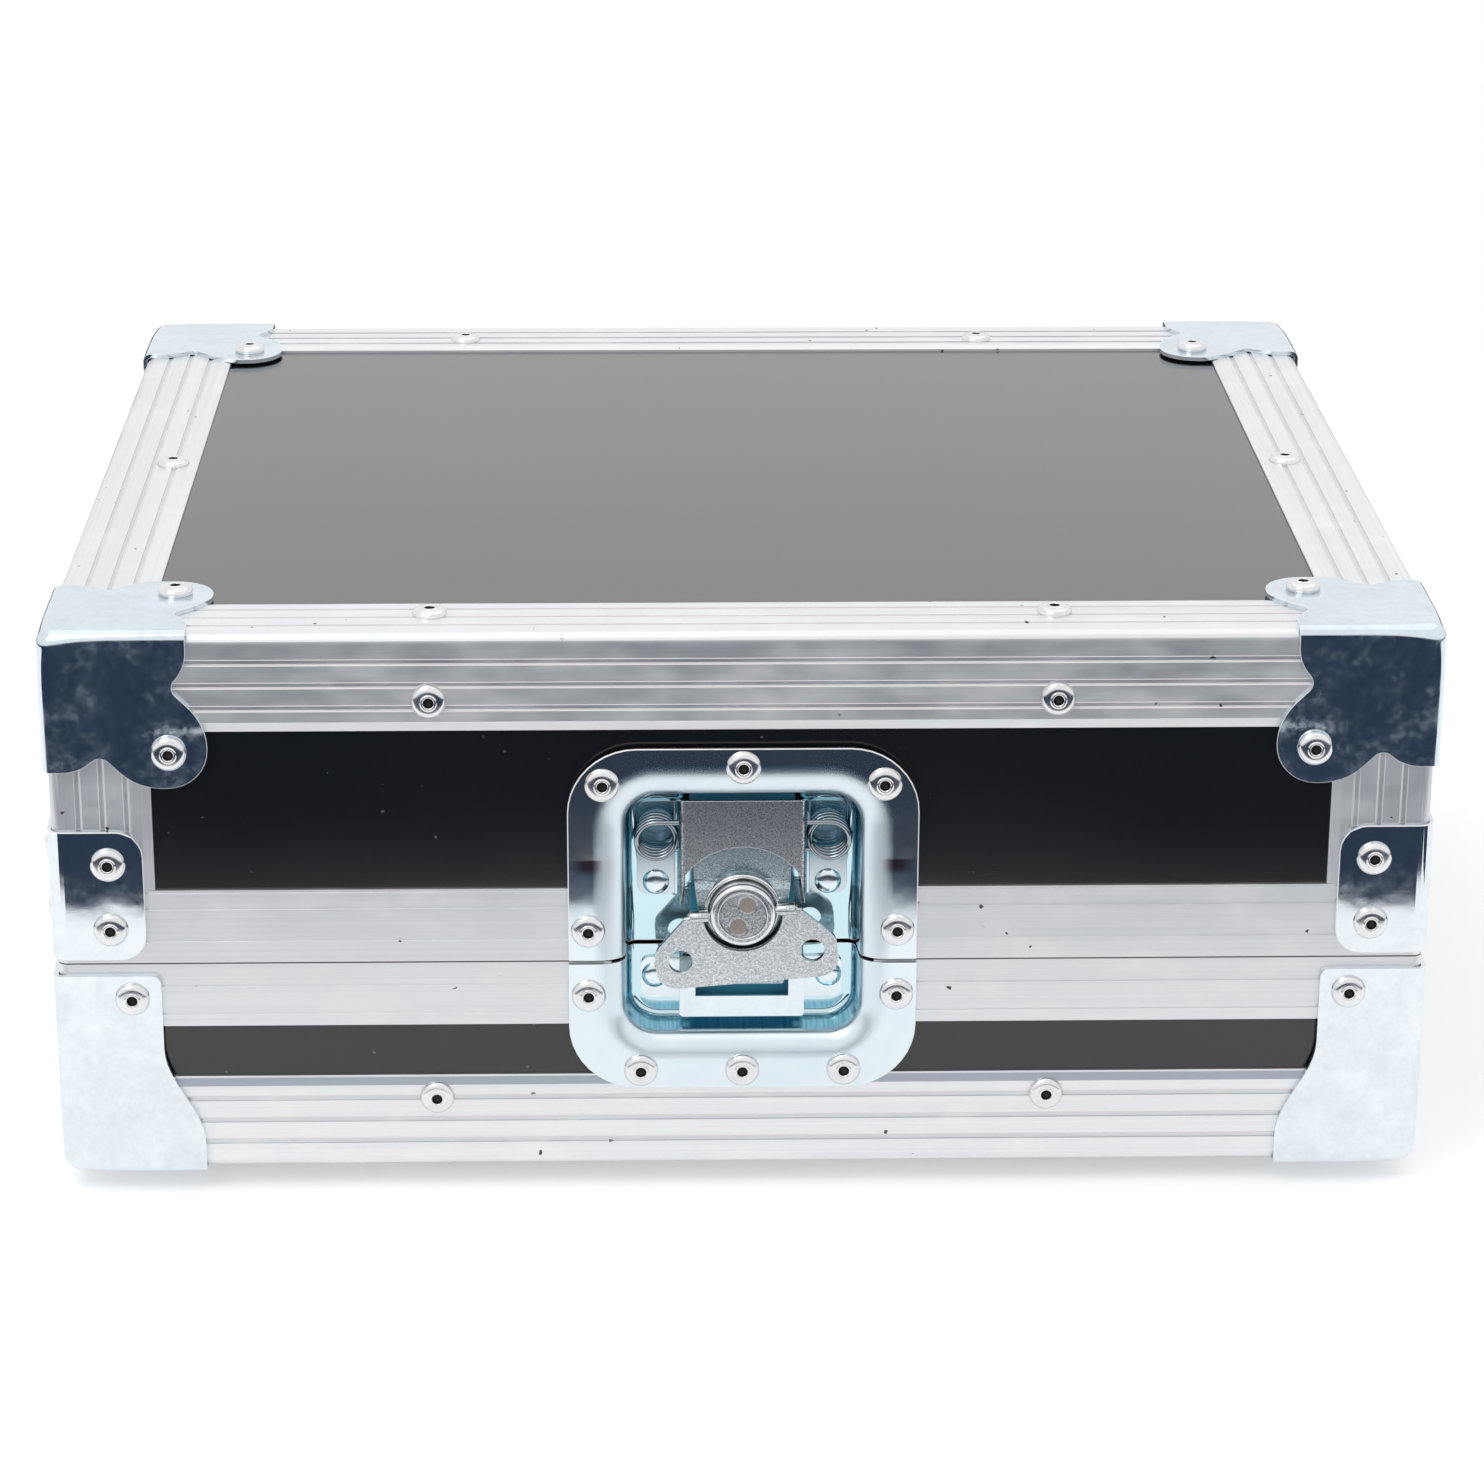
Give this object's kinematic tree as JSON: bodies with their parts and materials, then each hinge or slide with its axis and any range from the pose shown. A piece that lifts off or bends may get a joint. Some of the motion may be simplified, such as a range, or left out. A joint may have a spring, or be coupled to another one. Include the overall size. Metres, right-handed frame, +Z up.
{
  "type": "mixer flight case",
  "caption": "Shallow laminate flight case for a mixer: aluminium edges, ball corners, foam lining, a hinged lid and a recessed butterfly latch.",
  "frame": {"origin": "middle of the case's bounding box, on the plane that its rubber feet stand on", "axes": "+X to the right as seen by someone facing the latch, +Y to the back, where the hinges are, +Z up; the latch faces -Y"},
  "size_m": [0.4154, 0.3534, 0.1823],
  "materials": {
    "laminate": "black laminate, satin",
    "aluminium": "mill finish with lengthwise grooves",
    "corner_steel": "blue zinc plating, glossy",
    "dish_steel": "blue zinc plating, glossy",
    "latch_steel": "grainy zinc plating",
    "hinge_steel": "zinc plating",
    "bright_steel": "bright plating",
    "rivet": "bright",
    "spring_wire": "bright drawn wire",
    "foot_rubber": "black rubber",
    "foam": "dark grey foam"
  },
  "bodies": {
    "base": {"base_floor_panel": "laminate", "base_front_panel": "laminate", "base_back_panel": "laminate", "base_side_panels": "laminate", "base_edge_front": "aluminium", "base_edge_back": "aluminium", "base_edge_sides": "aluminium", "base_posts": "aluminium", "base_rim_front": "aluminium", "base_rim_back": "aluminium", "base_rim_sides": "aluminium", "base_corner_front_left": "corner_steel", "base_corner_front_right": "corner_steel", "base_corner_back_left": "corner_steel", "base_corner_back_right": "corner_steel", "base_dish": "dish_steel", "keeper": "dish_steel", "hinge_base_leaf_left": "hinge_steel", "hinge_base_leaf_right": "hinge_steel", "hinge_pins": "bright_steel", "foot_screws": "bright_steel", "base_rivets": "rivet", "keeper_rivets": "rivet", "rubber_feet": "foot_rubber", "base_foam_floor": "foam", "base_foam_walls": "foam"},
    "lid": {"lid_top_panel": "laminate", "lid_front_panel": "laminate", "lid_back_panel": "laminate", "lid_side_panels": "laminate", "lid_edge_front": "aluminium", "lid_edge_back": "aluminium", "lid_edge_sides": "aluminium", "lid_posts": "aluminium", "lid_rim_front": "aluminium", "lid_rim_back": "aluminium", "lid_rim_sides": "aluminium", "lid_corner_front_left": "corner_steel", "lid_corner_front_right": "corner_steel", "lid_corner_back_left": "corner_steel", "lid_corner_back_right": "corner_steel", "lid_braces": "corner_steel", "lid_dish": "dish_steel", "hinge_lid_leaf_left": "hinge_steel", "hinge_lid_leaf_right": "hinge_steel", "lid_rivets": "rivet", "lid_foam_top": "foam", "lid_foam_walls": "foam", "latch_bracket": "latch_steel", "bracket_rivets": "rivet", "spring_left": "spring_wire", "spring_right": "spring_wire"},
    "latch_arm": {"latch_pin": "bright_steel"},
    "hook": {"hook_plate": "latch_steel"},
    "spindle": {"spindle": "bright_steel", "spindle_cap": "bright_steel"},
    "wing": {"wing": "latch_steel", "wing_pin": "bright_steel"}
  },
  "joints": [
    {"name": "lid_hinge", "type": "hinge", "parent": "base", "child": "lid", "pos_m": [0, 0.1732, 0.0753], "axis": [-1, 0, 0], "range_deg": [0, 105]},
    {"name": "hook_swing", "type": "hinge", "parent": "lid", "child": "latch_arm", "pos_m": [0, -0.1648, 0.114], "axis": [-1, 0, 0], "range_deg": [-1.9, 6], "stiffness_Nm_per_rad": 0.4},
    {"name": "hook_lift", "type": "slide", "parent": "latch_arm", "child": "hook", "axis": [0, 0, -1], "range_m": [0, 0.005]},
    {"name": "spindle_turn", "type": "hinge", "parent": "hook", "child": "spindle", "pos_m": [0, -0.173, 0.0898], "axis": [0, 1, 0], "range_deg": [0, 180]},
    {"name": "wing_fold", "type": "hinge", "parent": "spindle", "child": "wing", "pos_m": [0, -0.1714, 0.0898], "axis": [-0.9962, 0, -0.0872], "range_deg": [0, 95]}
  ],
  "couplings": [
    {"joint": "spindle_turn", "follows": "hook_lift", "rad_per_m": 628.3}
  ]
}
